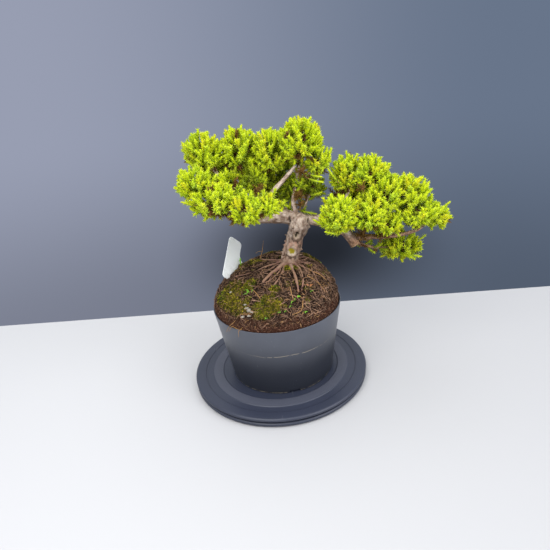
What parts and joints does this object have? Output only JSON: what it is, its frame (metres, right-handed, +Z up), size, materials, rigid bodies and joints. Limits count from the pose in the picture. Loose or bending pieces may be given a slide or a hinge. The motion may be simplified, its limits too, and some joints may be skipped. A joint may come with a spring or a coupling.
{
  "type": "potted juniper bonsai on a turntable",
  "caption": "Small garden juniper with a leaning trunk and two cushions of needle foliage, in a round pot of soil on a turning disc.",
  "frame": {"origin": "on the turntable's turning axis, at its flat underside", "axes": "+Z up, along the turning axis; +X to the right as seen from the front, towards the longer limb; -Y towards the viewer"},
  "size_m": [0.3629, 0.25, 0.3598],
  "materials": {
    "turntable_base": "satin",
    "ball_ring": "satin",
    "turntable_plate": "satin",
    "pot": "satin",
    "soil": "matte",
    "bark": "matte",
    "plant_label": "satin",
    "foliage": "satin"
  },
  "bodies": {
    "base": {"turntable_base": "turntable_base"},
    "bearing": {"ball_ring": "ball_ring"},
    "turning": {"turntable_plate": "turntable_plate", "pot": "pot", "soil": "soil", "trunk": "bark", "plant_label": "plant_label", "foliage_crown_left": "foliage", "foliage_crown_middle": "foliage", "foliage_crown_right": "foliage", "foliage_apex": "foliage", "foliage_left_front": "foliage", "foliage_left_low": "foliage", "foliage_left_inner": "foliage", "foliage_small_back": "foliage", "foliage_back_left": "foliage", "foliage_back_middle": "foliage", "foliage_right_crown": "foliage", "foliage_right_outer": "foliage", "foliage_right_front": "foliage", "foliage_right_under": "foliage", "foliage_right_back": "foliage"}
  },
  "joints": [
    {"name": "turn", "type": "hinge", "parent": "base", "child": "turning", "pos_m": [0, 0, 0.007], "axis": [0, 0, 1], "continuous": true},
    {"name": "ball_ring_turn", "type": "hinge", "parent": "base", "child": "bearing", "pos_m": [0, 0, 0.007], "axis": [0, 0, 1], "continuous": true}
  ],
  "couplings": [
    {"joint": "ball_ring_turn", "follows": "turn", "ratio": 0.5}
  ]
}
